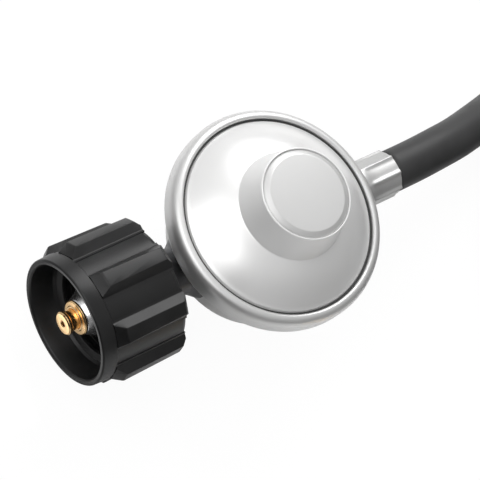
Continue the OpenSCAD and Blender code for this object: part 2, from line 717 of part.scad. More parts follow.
coil_first = unit(turn_at(0.002) - turn_at(0));
coil_last = unit(turn_at(coil_turns) - turn_at(coil_turns - 0.002));
coil_steps = coil_turns * coil_rings;
coil_path = concat(
    [turn_at(0) - hose_d * coil_first],
    [for (i = [0 : coil_steps]) turn_at(i / coil_rings)],
    [turn_at(coil_turns) + hose_d * coil_last]
);
coil_start = coil_path[0];
coil_end = coil_path[len(coil_path) - 1];
run_path = concat([exit], [for (p = run_route) exit + p], [coil_start]);
tail_low = [coil_end[0] + tail_drop[0], coil_end[1] + tail_drop[1], flare_af / 2];
tail_end = tail_low - [hose_d, 0, 0];
tail_path = concat([coil_end], [for (p = tail_route) coil_end + p], [tail_low, tail_end]);

// Least gap between the coil's turns, on its own points
coil_gap = min([for (i = [0 : coil_steps], j = [0 : coil_steps])
    if (j - i > coil_rings / 2) norm(turn_at(i / coil_rings) - turn_at(j / coil_rings))]) - hose_d;
echo(coil_gap = coil_gap);

function path_length(p) = let (d = [for (i = [1 : len(p) - 1]) norm(p[i] - p[i - 1])])
    d * [for (x = d) 1];
echo(hose_length = path_length(run_path) + path_length(coil_path) + path_length(tail_path));

module hose_run() color("#262626") tube(run_path, hose_r, run_sides, [1, 0, 0], coil_first);

module hose_coil() color("#262626") tube(coil_path, hose_r, coil_sides, coil_first, coil_last);

module hose_tail() color("#262626") tube(tail_path, hose_r, run_sides, coil_last, [-1, 0, 0]);

// A flat tie round the coil's turns where they cross the given direction
module tie(turn, angle) {
    radii = [for (t = [turn : 1 : coil_turns]) turn_r(t)];
    in_r = min(radii) - hose_r - 0.3;
    out_r = max(radii) + hose_r + 0.1;
    top = coil_low + coil_step + hose_r + 0.1;
    translate([coil_at[0], coil_at[1], 0]) rotate([90, 0, angle])
        translate([0, 0, -tie_w / 2]) linear_extrude(tie_w) difference() {
            rounded([in_r - tie_t, 0], [out_r + tie_t, top + tie_t], 5 + tie_t);
            rounded([in_r, tie_t], [out_r, top], 5);
        }
}

// A rectangle with round corners between two corner points
module rounded(a, b, r) {
    translate([a[0] + r, a[1]]) square([b[0] - a[0] - 2 * r, b[1] - a[1]]);
    translate([a[0], a[1] + r]) square([b[0] - a[0], b[1] - a[1] - 2 * r]);
    for (x = [a[0] + r, b[0] - r], y = [a[1] + r, b[1] - r]) translate([x, y]) circle(r = r, $fn = 32);
}

module coil_ties() color("white") {
    for (turn = [0.125, 0.375]) tie(turn, 90 - 360 * turn);
}

body_casting();
bonnet();
cap();
adjusting_screw();
vent_screen();
main_spring();
diaphragm();
diaphragm_plate();
diaphragm_post();
lever();
lever_pin();
lever_bracket();
bracket_screws();
valve_carriage();
valve_pad();
orifice();
inlet_nipple();
probe_guide();
probe();
probe_spring();
thermal_bushing();
coupling_nut();
hose_barb();
crimp_ferrule();
hose_grip();
hose_run();
hose_coil();
coil_ties();
hose_tail();
end_ferrule();
end_grip();
end_stem();
flare_nut();
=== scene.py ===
import bpy, bmesh, json, math
from mathutils import Matrix, Vector

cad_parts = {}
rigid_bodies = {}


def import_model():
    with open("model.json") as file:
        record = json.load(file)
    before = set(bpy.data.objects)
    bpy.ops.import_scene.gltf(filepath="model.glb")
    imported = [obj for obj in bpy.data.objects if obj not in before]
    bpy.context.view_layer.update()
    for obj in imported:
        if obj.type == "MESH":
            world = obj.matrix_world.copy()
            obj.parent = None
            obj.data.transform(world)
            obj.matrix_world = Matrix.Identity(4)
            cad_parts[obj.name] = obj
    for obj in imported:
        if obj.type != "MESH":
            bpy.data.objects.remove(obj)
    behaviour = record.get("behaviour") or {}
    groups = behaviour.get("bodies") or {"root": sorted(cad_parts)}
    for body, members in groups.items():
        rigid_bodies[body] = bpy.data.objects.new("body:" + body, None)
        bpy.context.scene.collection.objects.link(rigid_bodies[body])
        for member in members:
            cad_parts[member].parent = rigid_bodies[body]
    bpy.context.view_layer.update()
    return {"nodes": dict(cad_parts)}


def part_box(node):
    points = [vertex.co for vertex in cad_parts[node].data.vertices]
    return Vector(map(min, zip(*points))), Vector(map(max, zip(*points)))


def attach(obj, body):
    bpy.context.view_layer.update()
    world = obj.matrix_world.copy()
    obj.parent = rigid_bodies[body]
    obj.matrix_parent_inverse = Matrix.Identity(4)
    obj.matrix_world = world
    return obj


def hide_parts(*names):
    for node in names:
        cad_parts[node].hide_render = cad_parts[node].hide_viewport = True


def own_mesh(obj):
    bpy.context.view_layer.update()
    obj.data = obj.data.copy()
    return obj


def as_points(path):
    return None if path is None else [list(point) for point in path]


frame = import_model()

# Sizes are in millimetres, and become metres where a mesh is made. An outline is a list of points of
# (radius, height along the axis, corner radius), and the corner radius may be left out.
MM = 0.001
DISC_X, AXIS_Z = 9.95, 23.8071     # the diaphragm axis, and the height of the pipe axis
FLOOR_HALF = 6                     # half the floor's side, in metres
SHARP = 32                         # edges that turn by more degrees than this stay sharp
WELD = 1e-4                        # corners nearer than this are one
HOSE_SIDES, COIL_POINTS = 48, 48   # sides of the hose, and its points in a turn of the coil
ROUTE_STEPS, JOIN_STEPS = 5, 3     # pieces of the hose between two points of its route, and at the coil
SPRING_SIDES, SPRING_POINTS, SPRING_TURNS = 10, 24, 6
UV_PER_METRE = 10
# Steps round the turned pieces on the two axes
DISC_STEPS, DOME_STEPS, SEAL_STEPS, VENT_STEPS = 240, 256, 200, 64
PIPE_STEPS, NUT_STEPS, BUSH_STEPS, CONE_STEPS = 96, 224, 128, 160


# ---------- camera ----------

def aim_camera():
    """A long lens that looks down on the disc and into the coupling's mouth. Lengths here are in metres."""
    camera = bpy.data.cameras.new("camera")
    camera.sensor_width = 36
    camera.lens = 163.25
    camera.clip_end = 20
    eye = bpy.data.objects.new("camera", camera)
    right, up, back = (0.7862, -0.4742, 0.3963), (0.3659, 0.8740, 0.3198), (-0.4980, -0.1064, 0.8606)
    facing = Matrix([right, up, back]).transposed().to_4x4()
    eye.matrix_world = Matrix.Translation((-0.34085, -0.0732, 0.61931)) @ facing
    bpy.context.collection.objects.link(eye)
    bpy.context.scene.camera = eye


# ---------- lines and tubes ----------

def sweep_of(points, radius, sides, name):
    """A round tube along points in metres, with its two ends closed."""
    mesh, tube = bpy.data.meshes.new(name), bmesh.new()
    rings = []
    for i, p in enumerate(points):
        ahead = points[min(i + 1, len(points) - 1)] - points[max(i - 1, 0)]
        ahead.normalize()
        side = ahead.cross(Vector((0, 0, 1))).normalized()
        up = side.cross(ahead)
        rings.append([tube.verts.new(p + radius * (math.cos(a) * side + math.sin(a) * up))
                      for a in (2 * math.pi * k / sides for k in range(sides))])
    uv = tube.loops.layers.uv.new("along")
    reach = [0.0]
    for a, b in zip(points, points[1:]):
        reach.append(reach[-1] + (b - a).length)
    for i in range(len(rings) - 1):
        for k in range(sides):
            j = (k + 1) % sides
            face = tube.faces.new((rings[i][k], rings[i][j], rings[i + 1][j], rings[i + 1][k]))
            face.smooth = True
            for loop, (s, v) in zip(face.loops, ((k, i), (k + 1, i), (k + 1, i + 1), (k, i + 1))):
                loop[uv].uv = (s / sides, reach[v] * UV_PER_METRE)
    tube.faces.new(rings[0])
    tube.faces.new(reversed(rings[-1]))
    bmesh.ops.recalc_face_normals(tube, faces=tube.faces)
    tube.to_mesh(mesh)
    tube.free()
    piece = bpy.data.objects.new(name, mesh)
    bpy.context.collection.objects.link(piece)
    return piece


def smooth_line(points, steps):
    """A smooth curve through the points, with steps pieces between each two."""
    ends = [2 * points[0] - points[1]] + points + [2 * points[-1] - points[-2]]
    line = []
    for a, b, c, d in zip(ends, ends[1:], ends[2:], ends[3:]):
        for i in range(steps):
            t = i / steps
            line.append(0.5 * (2 * b + (c - a) * t + (2 * a - 5 * b + 4 * c - d) * t * t
                               + (3 * b - a - 3 * c + d) * t ** 3))
    return line + [points[-1]]


# ---------- hose ----------

# The run goes from the ferrule down to the coil, and the tail from the coil to the far fitting. Their points
# are offsets from where each starts.
HOSE_D, HOSE_FRONT = 14.5, 65.55
HOSE_START = Vector((HOSE_FRONT, 0, AXIS_Z))
COIL_R, COIL_PITCH, COIL_STEP, COIL_TURNS, COIL_CLIMB = 78.4, 15.0, 15.0, 1.5, 0.5
COIL_LOW = HOSE_D / 2 + 0.95
COIL_AT = (172.95, -69.0)
RUN_ROUTE = ((12, 0.1, 0), (24, 0.7, -1), (34, 1.5, -2.9), (46, 3.3, -6),
             (58, 5.4, -9.5), (70, 7.6, -12.7), (82, 9.1, -14.9))
TAIL_ROUTE = ((-14, -0.3, -0.8), (-24, -0.4, -2.7), (-34, -0.1, -5.4), (-44, 0.8, -8.3),
              (-54, 2.2, -11), (-64, 3.6, -12.9))
TAIL_DROP = (-74, 4.4)
FLARE_AF = 19.05


def coil_point(t):
    """The hose's middle after t turns: inwards on the floor, up a layer, and outwards again."""
    radius = COIL_R - COIL_PITCH * min(t, COIL_TURNS - t)
    u = max(0.0, min(1.0, (t - (COIL_TURNS - COIL_CLIMB) / 2) / COIL_CLIMB))
    angle = math.radians(90 - 360 * t)
    return Vector((COIL_AT[0] + radius * math.cos(angle), COIL_AT[1] + radius * math.sin(angle),
                   COIL_LOW + COIL_STEP * u * u * (3 - 2 * u)))


def hose_route():
    """The hose's line in metres, and the middle of its far end in millimetres."""
    near = 0.002
    first = (coil_point(near) - coil_point(0)).normalized()
    last = (coil_point(COIL_TURNS) - coil_point(COIL_TURNS - near)).normalized()
    coil_start = coil_point(0) - HOSE_D * first
    coil_end = coil_point(COIL_TURNS) + HOSE_D * last
    low = Vector((coil_end.x + TAIL_DROP[0], coil_end.y + TAIL_DROP[1], FLARE_AF / 2))
    run = [HOSE_START] + [HOSE_START + Vector(p) for p in RUN_ROUTE] + [coil_start]
    coil = [coil_point(i / COIL_POINTS) for i in range(int(COIL_TURNS * COIL_POINTS) + 1)]
    tail = [coil_end] + [coil_end + Vector(p) for p in TAIL_ROUTE] + [low]
    end = low - Vector((HOSE_D, 0, 0))
    line = smooth_line(run, ROUTE_STEPS) + smooth_line([coil_start, coil[0]], JOIN_STEPS)[1:] + coil[1:]
    line += smooth_line([coil[-1], coil_end], JOIN_STEPS)[1:] + smooth_line(tail, ROUTE_STEPS)[1:]
    line += smooth_line([low, end], JOIN_STEPS)[1:]
    return [p * MM for p in line], end


def make_hose(finish):
    line, end = hose_route()
    hose = sweep_of(line, HOSE_D / 2 * MM, HOSE_SIDES, "hose")
    hose.data.materials.append(finish)
    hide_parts("hose_run", "hose_coil", "hose_tail")
    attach(hose, "regulator")
    return hose, line, end


# ---------- shaping tools ----------

def soften(outline, closed=False):
    """Corner points of (a, b) or (a, b, radius), with each radius drawn as an arc.

    An arc takes less than half of its neighbouring sides, and nearly straight corners stay as they are.
    """
    share, straight, degrees_a_step = 0.49, math.radians(178), 12
    n, line = len(outline), []
    for i, point in enumerate(outline):
        here = Vector(point[:2])
        radius = point[2] if len(point) > 2 else 0
        if not radius or (not closed and i in (0, n - 1)):
            line.append(here)
            continue
        before, after = Vector(outline[i - 1][:2]), Vector(outline[(i + 1) % n][:2])
        u, v = (before - here).normalized(), (after - here).normalized()
        angle = u.angle(v)
        if angle > straight:
            line.append(here)
            continue
        room = share * min((before - here).length, (after - here).length)
        reach = min(radius / math.tan(angle / 2), room)
        radius = reach * math.tan(angle / 2)
        centre = here + (u + v).normalized() * (radius / math.sin(angle / 2))
        a, b = here + u * reach - centre, here + v * reach - centre
        steps = max(2, int(math.degrees(math.pi - angle) / degrees_a_step) + 1)
        for k in range(steps + 1):
            t = k / steps
            w = math.sin((1 - t) * (math.pi - angle)), math.sin(t * (math.pi - angle))
            line.append(centre + (a * w[0] + b * w[1]) / math.sin(math.pi - angle))
    return line


def as_piece(name, shape, finish, sharp=SHARP):
    """A finished piece from a bmesh in millimetres, at the origin, with faces outwards."""
    bmesh.ops.remove_doubles(shape, verts=shape.verts, dist=WELD)
    bmesh.ops.recalc_face_normals(shape, faces=shape.faces)
    bmesh.ops.scale(shape, vec=(MM, MM, MM), verts=shape.verts)
    mesh = bpy.data.meshes.new(name)
    shape.to_mesh(mesh)
    shape.free()
    mesh.shade_smooth()
    mesh.set_sharp_from_angle(angle=math.radians(sharp))
    mesh.materials.append(finish)
    piece = bpy.data.objects.new(name, mesh)
    bpy.context.collection.objects.link(piece)
    return piece


PIPE = Matrix.Translation((DISC_X, 0, AXIS_Z)) @ Matrix.Rotation(math.radians(90), 4, "Y")
DISC = Matrix.Translation((DISC_X, 0, AXIS_Z))


def turn(shape, outline, place, steps, ring=False):
    """Adds an outline of (radius, height) turned about the place's Z axis."""
    columns = []
    for k in range(steps):
        a = 2 * math.pi * k / steps
        columns.append([place @ Vector((r * math.cos(a), r * math.sin(a), h)) for r, h in outline])
    poles = {i: shape.verts.new(columns[0][i]) for i, p in enumerate(outline) if p[0] < WELD}
    grid = [[poles.get(i) or shape.verts.new(p) for i, p in enumerate(c)] for c in columns]
    last = len(outline) - (0 if ring else 1)
    for k in range(steps):
        one, two = grid[k], grid[(k + 1) % steps]
        for i in range(last):
            j = (i + 1) % len(outline)
            corners = [one[i], one[j], two[j], two[i]]
            corners = [v for n, v in enumerate(corners) if v not in corners[:n]]
            if len(corners) > 2:
                shape.faces.new(corners)


def skin(shape, rings, closed=True):
    """Faces between rings with the same number of corners, and if closed also from the last to the first."""
    for one, two in zip(rings, rings[1:] + (rings[:1] if closed else [])):
        for k in range(len(one)):
            j = (k + 1) % len(one)
            shape.faces.new((one[k], one[j], two[j], two[k]))


def finish_piece(piece, slot, body, *nodes):
    """Hides the nodes that a piece stands for and attaches the piece to its body. The slot is not used."""
    if nodes:
        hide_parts(*nodes)
    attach(piece, body)


def turned_piece(name, finish, outline, place, steps, slot, body, *nodes, ring=True):
    """A finished piece that is one outline turned about an axis."""
    shape = bmesh.new()
    turn(shape, outline, place, ring=ring, steps=steps)
    finish_piece(as_piece(name, shape, finish), slot, body, *nodes)


# ---------- shared surface effects ----------

def new_group(name, inputs, outputs):
    group = bpy.data.node_groups.new(name, "ShaderNodeTree")
    for label, kind, value in inputs:
        socket = group.interface.new_socket(label, in_out="INPUT", socket_type=kind)
        if value is not None:
            socket.default_value = value
    for label, kind in outputs:
        group.interface.new_socket(label, in_out="OUTPUT", socket_type=kind)
    return group, group.nodes.new("NodeGroupInput"), group.nodes.new("NodeGroupOutput")


def feed(tree, value, socket):
    """Sets a socket to a number, or links another socket to it."""
    if isinstance(value, (int, float)):
        socket.default_value = value
    else:
        tree.links.new(value, socket)


def maths(tree, operation, *values):
    node = tree.nodes.new("ShaderNodeMath")
    node.operation = operation
    for socket, value in zip(node.inputs, values):
        feed(tree, value, socket)
    return node.outputs[0]


def noise(tree, vector, scale, detail, roughness=0.5):
    node = tree.nodes.new("ShaderNodeTexNoise")
    for label, value in (("Vector", vector), ("Scale", scale), ("Detail", detail), ("Roughness", roughness)):
        feed(tree, value, node.inputs[label])
    return node.outputs["Fac"]


def map_range(tree, value, start, end, low, high):
    """The value from start to end as one from low to high."""
    node = tree.nodes.new("ShaderNodeMapRange")
    for label, number in (("From Min", start), ("From Max", end), ("To Min", low), ("To Max", high)):
        node.inputs[label].default_value = number
    tree.links.new(value, node.inputs["Value"])
    return node.outputs["Result"]


def object_axis(tree, axis):
    """One of the Object coordinates, in metres."""
    split = tree.nodes.new("ShaderNodeSeparateXYZ")
    tree.links.new(tree.nodes.new("ShaderNodeTexCoord").outputs["Object"], split.inputs[0])
    return split.outputs[axis]


def turned_marks_group():
    """Fine circular tool marks round the Z axis of the vector that comes in."""
    group, source, sink = new_group(
        "turned_marks",
        [("Vector", "NodeSocketVector", None), ("Marks per mm", "NodeSocketFloat", 6.0)],
        [("Fine", "NodeSocketFloat"), ("Broad", "NodeSocketFloat")])
    split = group.nodes.new("ShaderNodeSeparateXYZ")
    group.links.new(source.outputs["Vector"], split.inputs[0])
    square = maths(group, "ADD", maths(group, "MULTIPLY", split.outputs[0], split.outputs[0]),
                   maths(group, "MULTIPLY", split.outputs[1], split.outputs[1]))
    lean = maths(group, "MULTIPLY", split.outputs[2], 0.6)
    radius = maths(group, "ADD", maths(group, "SQRT", square), lean)
    in_mm = maths(group, "MULTIPLY", radius, 1 / MM)
    step = maths(group, "MULTIPLY", in_mm, source.outputs["Marks per mm"])
    for label, factor in (("Fine", 1.0), ("Broad", 0.12)):
        ripple = group.nodes.new("ShaderNodeTexNoise")
        ripple.noise_dimensions = "1D"
        ripple.inputs["Detail"].default_value = 3
        ripple.inputs["Scale"].default_value = 1
        group.links.new(maths(group, "MULTIPLY", step, factor), ripple.inputs["W"])
        group.links.new(ripple.outputs["Fac"], sink.inputs[label])
    return group


def handling_group():
    """Faint smudges and scattered fine scratches, as a mask from 0 to 1."""
    group, source, sink = new_group(
        "handling",
        [("Vector", "NodeSocketVector", None), ("Scale", "NodeSocketFloat", 60.0)],
        [("Smudge", "NodeSocketFloat"), ("Scratch", "NodeSocketFloat")])
    vector, scale = source.outputs["Vector"], source.outputs["Scale"]
    group.links.new(noise(group, vector, scale, 4), sink.inputs["Smudge"])
    scratches = noise(group, vector, maths(group, "MULTIPLY", scale, 12), 6, 0.7)
    group.links.new(scratches, sink.inputs["Scratch"])
    return group


TURNED, HANDLING = turned_marks_group(), handling_group()


class Finish:
    """A material on Object coordinates, with short ways to vary its colour, gloss and relief."""

    def __init__(self, name, colour, metallic, roughness, **sockets):
        self.material = bpy.data.materials.new(name)
        self.material.use_nodes = True
        self.tree = self.material.node_tree
        self.shader = self.tree.nodes["Principled BSDF"]
        self.shader.inputs["Base Color"].default_value = (*colour, 1)
        self.shader.inputs["Metallic"].default_value = metallic
        self.shader.inputs["Roughness"].default_value = roughness
        for socket, value in sockets.items():
            self.shader.inputs[socket.replace("_", " ")].default_value = value
        self.where = self.tree.nodes.new("ShaderNodeTexCoord").outputs["Object"]

    def placed(self, centre, turn_deg):
        """Object coordinates from a centre in millimetres, turned."""
        mapping = self.tree.nodes.new("ShaderNodeMapping")
        mapping.vector_type = "TEXTURE"
        mapping.inputs["Location"].default_value = [c * MM for c in centre]
        mapping.inputs["Rotation"].default_value = [math.radians(a) for a in turn_deg]
        self.tree.links.new(self.where, mapping.inputs["Vector"])
        return mapping.outputs["Vector"]

    def group(self, group, vector, **values):
        node = self.tree.nodes.new("ShaderNodeGroup")
        node.node_tree = group
        self.tree.links.new(vector, node.inputs["Vector"])
        for name, value in values.items():
            node.inputs[name.replace("_", " ")].default_value = value
        return node.outputs

    def noise(self, vector, scale, detail):
        return noise(self.tree, vector, scale, detail, 0.55)

    def spread(self, value, low, high):
        """The middle of a noise's range as a value from low to high."""
        return map_range(self.tree, value, 0.3, 0.7, low, high)

    def colours(self, value, low, high):
        node = self.tree.nodes.new("ShaderNodeMix")
        node.data_type = "RGBA"
        self.tree.links.new(self.spread(value, 0, 1), node.inputs["Factor"])
        node.inputs["A"].default_value = (*low, 1)
        node.inputs["B"].default_value = (*high, 1)
        self.tree.links.new(node.outputs["Result"], self.shader.inputs["Base Color"])

    def gloss(self, value, low, high):
        self.tree.links.new(self.spread(value, low, high), self.shader.inputs["Roughness"])

    def relief(self, *layers):
        """Bumps from layers of (value, depth in millimetres, strength), one on the other."""
        normal = None
        for value, depth_mm, strength in layers:
            bump = self.tree.nodes.new("ShaderNodeBump")
            bump.inputs["Strength"].default_value = strength
            bump.inputs["Distance"].default_value = depth_mm * MM
            self.tree.links.new(value, bump.inputs["Height"])
            if normal is not None:
                self.tree.links.new(normal, bump.inputs["Normal"])
            normal = bump.outputs["Normal"]
        self.tree.links.new(normal, self.shader.inputs["Normal"])


def spun_shell(name, colour, roughness, centre):
    """Spun metal whose tower, above the dome, has a more matt lacquer."""
    dome_metallic, tower_metallic, tower_roughness = 0.6, 0.3, 0.45
    material = turned_metal(name, colour, roughness, centre, marks=3, depth=0.001, tint=0.02,
                            metallic=dome_metallic)
    tree = material.node_tree
    height, foot, blend = object_axis(tree, "Z"), (AXIS_Z + TOWER_FOOT) * MM, 0.3 * MM
    for socket, low, high in (("Metallic", dome_metallic, tower_metallic),
                              ("Roughness", roughness, tower_roughness)):
        step = map_range(tree, height, foot, foot + blend, low, high)
        tree.links.new(step, tree.nodes["Principled BSDF"].inputs[socket])
    return material


def turned_metal(name, colour, roughness, centre, along_x=False, marks=6.0, depth=0.004, tint=0.06,
                 metallic=1):
    """Metal with tool marks round an axis through the centre, and faint smudges and scratches."""
    f = Finish(name, colour, metallic, roughness)
    vector = f.placed(centre, (0, 90, 0) if along_x else (0, 0, 0))
    turned = f.group(TURNED, vector, Marks_per_mm=marks)
    rub = f.group(HANDLING, f.where, Scale=45.0)
    f.colours(rub["Smudge"], [c * (1 - tint) for c in colour], colour)
    f.gloss(turned["Broad"], roughness * 0.95, roughness * 1.06)
    f.relief((turned["Fine"], depth, 0.15), (rub["Scratch"], 0.002, 0.06))
    return f.material


def moulded_plastic(name, colour, roughness):
    """Plastic with the fine grain of its mould."""
    f = Finish(name, colour, 0, roughness, Specular_IOR_Level=0.32)
    rub = f.group(HANDLING, f.where, Scale=70.0)
    pebble = f.noise(f.where, 3800, 3)
    f.colours(rub["Smudge"], colour, [min(1, c * 1.25 + 0.004) for c in colour])
    f.gloss(rub["Smudge"], roughness * 0.88, roughness * 1.15)
    f.relief((pebble, 0.01, 0.25), (rub["Scratch"], 0.003, 0.1))
    return f.material


def hose_cover():
    """Matt black rubber with faint lines along it and a little dust."""
    colour = (0.020, 0.020, 0.0204)
    f = Finish("hose_cover", colour, 0, 0.5, Specular_IOR_Level=0.40)
    along = f.tree.nodes.new("ShaderNodeUVMap")
    along.uv_map = "along"
    stretch = f.tree.nodes.new("ShaderNodeMapping")
    stretch.inputs["Scale"].default_value = (46, 2, 1)
    f.tree.links.new(along.outputs["UV"], stretch.inputs["Vector"])
    draw_lines = f.noise(stretch.outputs["Vector"], 4, 5)
    dust = f.noise(f.where, 120, 5)
    f.colours(dust, colour, (0.028, 0.028, 0.0285))
    f.gloss(dust, 0.44, 0.56)
    f.relief((draw_lines, 0.02, 0.25), (f.noise(f.where, 2600, 3), 0.008, 0.3))
    return f.material


def plain_wire(name, colour, roughness, metallic=1):
    """A plain finish for wire, sheet and rubber inside the object."""
    f = Finish(name, colour, metallic, roughness)
    rub = f.group(HANDLING, f.where, Scale=160.0)
    f.colours(rub["Smudge"], [c * 0.85 for c in colour], colour)
    f.gloss(rub["Scratch"], roughness * 0.8, roughness * 1.25)
    f.relief((rub["Scratch"], 0.004, 0.2))
    return f.material


# ---------- scene ----------

SKY_UP = (-0.20, 0.42, 0.88)       # the brightest part of the sky
SKY_STOPS = ((0.0, (0.12, 0.12, 0.12)), (0.30, (0.26, 0.259, 0.257)), (0.45, (0.38, 0.379, 0.377)),
             (0.62, (0.60, 0.60, 0.60)), (0.78, (0.96, 0.96, 0.96)), (0.95, (1.12, 1.12, 1.12)))
SKY_STRENGTH, BACKDROP = 0.8, 1.25
PAPER_LIT, PAPER_SHARE = 1.02, 0.93  # the floor's own light for the camera, and its share of what shows


def set_light():
    """A sky that is dark low down and bright above, white for the camera, and three softboxes."""
    world = bpy.data.worlds.new("studio")
    bpy.context.scene.world = world
    world.use_nodes = True
    tree = world.node_tree
    tree.nodes.clear()
    node, link = tree.nodes.new, tree.links.new
    out = node("ShaderNodeOutputWorld")
    sky = node("ShaderNodeBackground")
    where = node("ShaderNodeTexCoord").outputs["Generated"]
    dot = node("ShaderNodeVectorMath")
    dot.operation = "DOT_PRODUCT"
    dot.inputs[1].default_value = Vector(SKY_UP).normalized()
    link(where, dot.inputs[0])
    ramp = node("ShaderNodeValToRGB")
    ramp.color_ramp.interpolation = "EASE"
    while len(ramp.color_ramp.elements) < len(SKY_STOPS):
        ramp.color_ramp.elements.new(0.5)
    for element, (at, colour) in zip(ramp.color_ramp.elements, SKY_STOPS):
        element.position = at
        element.color = (*colour, 1)
    link(maths(tree, "MULTIPLY_ADD", dot.outputs["Value"], 0.5, 0.5), ramp.inputs["Fac"])
    backdrop = node("ShaderNodeMix")
    backdrop.data_type = "RGBA"
    backdrop.inputs["B"].default_value = (BACKDROP, BACKDROP, BACKDROP, 1)
    seen = node("ShaderNodeLightPath").outputs["Is Camera Ray"]
    link(seen, backdrop.inputs["Factor"])
    link(ramp.outputs["Color"], backdrop.inputs["A"])
    link(backdrop.outputs["Result"], sky.inputs["Color"])
    sky.inputs["Strength"].default_value = SKY_STRENGTH
    link(sky.outputs[0], out.inputs["Surface"])

    def softbox(name, place, target, size, power):
        lamp = bpy.data.lights.new(name, "AREA")
        lamp.shape = "RECTANGLE"
        lamp.size, lamp.size_y = size
        lamp.energy = power
        box = bpy.data.objects.new(name, lamp)
        look = (Vector(target) - Vector(place)).to_track_quat("-Z", "Y")
        box.matrix_world = Matrix.Translation(place) @ look.to_matrix().to_4x4()
        bpy.context.collection.objects.link(box)

    softbox("key_softbox", (0.62, 0.75, 0.82), (0, 0, 0.02), (0.8, 0.7), 8)
    softbox("left_softbox", (-0.48, 0.12, 0.42), (0, 0, 0.04), (0.6, 0.6), 2.2)
    softbox("top_softbox", (-0.50, 0.35, 1.15), (0, 0, 0.02), (0.8, 0.8), 1)


def stage_piece(name, shape, material, camera=True, shadow=True):
    """A piece of the set, which isn't part of the object."""
    mesh = bpy.data.meshes.new(name)
    shape.to_mesh(mesh)
    shape.free()
    mesh.materials.append(material)
    piece = bpy.data.objects.new(name, mesh)
    bpy.context.collection.objects.link(piece)
    piece.visible_camera = camera
    piece.visible_shadow = shadow


def card(name, corners, material, shadow=True):
    """A flat card beside the object, which the camera doesn't see."""
    shape = bmesh.new()
    shape.faces.new([shape.verts.new(p) for p in corners])
    stage_piece(name, shape, material, camera=False, shadow=shadow)


def dark_card():
    """A black card on the coupling's side, which keeps light out of its mouth."""
    x, near, far, top = -0.55, -0.7, 0.5, 0.6
    black = Finish("card_black", (0.01, 0.01, 0.01), 0, 0.9)
    card("dark_card", ((x, near, 0), (x, far, 0), (x, far, top), (x, near, top)), black.material)


def bounce_card():
    """A small bright card on the floor ahead of the coupling's mouth, which lights the probe."""
    near, far, half, height = -0.075, -0.105, 0.02, 0.001
    glow = Finish("card_white", (0.8, 0.8, 0.8), 0, 0.9, Emission_Color=(1, 1, 1, 1), Emission_Strength=0.9)
    corners = (far, -half, height), (near, -half, height), (near, half, height), (far, half, height)
    card("bounce_card", corners, glow.material, shadow=False)


def lay_floor():
    """Pale paper: the camera sees it lit, and the object sees it darker ahead of the coupling."""
    paper = bpy.data.materials.new("paper_floor")
    paper.use_nodes = True
    tree = paper.node_tree
    tree.nodes.clear()
    node, link = tree.nodes.new, tree.links.new
    out = node("ShaderNodeOutputMaterial")
    matt = node("ShaderNodeBsdfDiffuse")
    paper_tone = node("ShaderNodeMix")
    paper_tone.data_type = "RGBA"
    bounce = map_range(tree, object_axis(tree, "X"), -0.08, -0.02, 0.42, 0.95)
    link(bounce, paper_tone.inputs["A"])
    paper_tone.inputs["B"].default_value = (0.8, 0.8, 0.8, 1)
    link(paper_tone.outputs["Result"], matt.inputs["Color"])
    lit = node("ShaderNodeEmission")
    lit.inputs["Color"].default_value = (1, 1, 1, 1)
    lit.inputs["Strength"].default_value = PAPER_LIT
    path = node("ShaderNodeLightPath")
    link(path.outputs["Is Camera Ray"], paper_tone.inputs["Factor"])
    mix = node("ShaderNodeMixShader")
    link(maths(tree, "MULTIPLY", path.outputs["Is Camera Ray"], PAPER_SHARE), mix.inputs[0])
    link(matt.outputs[0], mix.inputs[1])
    link(lit.outputs[0], mix.inputs[2])
    link(mix.outputs[0], out.inputs["Surface"])
    shape = bmesh.new()
    bmesh.ops.create_grid(shape, x_segments=2, y_segments=2, size=FLOOR_HALF)
    stage_piece("floor", shape, paper)


# ---------- regulator disc ----------

# Radii, then heights above the pipe axis, then the dome with its tower, and the vent in it.
RIM_R, GROOVE_R, SEAT_R, ROLL_R = 36.0, 32.4, 33.5, 0.8
LEDGE, FLANGE, FLANGE_TOP, CREST, WIDEST = 13.8, 15.2, 16.8, 19.0, 15.2
STEP, TOWER_FOOT, TOWER_TOP, CAP_TOP = 18.9, 27.1, 38.6, 39.2
DOME_R, TOWER_R, BULGE, SHELL_WALL, CAP_FOOT = 30.7, 17.6, 0.8, 1.3, 36.8
VENT_R, VENT_REACH, VENT_TURN = 2.52, 20.4, 12


def arc(centre, radii, angles):
    """Points of an ellipse at the angles in degrees."""
    return [Vector((centre[0] + radii[0] * math.cos(math.radians(a)),
                    centre[1] + radii[1] * math.sin(math.radians(a)))) for a in angles]


def make_housing(finish):
    """The cast body with its rolled rim, and the boss that takes the hose."""
    shape = bmesh.new()
    crown = GROOVE_R + ROLL_R
    outline = soften([(0, -10.5), (28.1, -10.5, 4), (28.1, 9.6, 3), (RIM_R, 9.6, 3.2),
                      (RIM_R, WIDEST - 0.5)])
    outline += arc((crown, WIDEST), (RIM_R - crown, CREST - WIDEST), range(0, 91, 6))
    outline += arc((crown, CREST - ROLL_R), (ROLL_R, ROLL_R), range(105, 181, 15))
    outline += soften([(GROOVE_R, 16.9), (SEAT_R, 16.9), (SEAT_R, LEDGE), (25.5, LEDGE),
                       (25.5, -7.5, 1), (0, -7.5)])
    turn(shape, outline, DISC, steps=DISC_STEPS)
    outlet = soften([(5.1, 26.3), (5.1, 39.4, 0.3), (7.8, 39.4, 0.5), (7.8, 26.3)], closed=True)
    turn(shape, outlet, PIPE, ring=True, steps=PIPE_STEPS)
    finish_piece(as_piece("housing", shape, finish), "cast_body", "regulator", "body_casting")


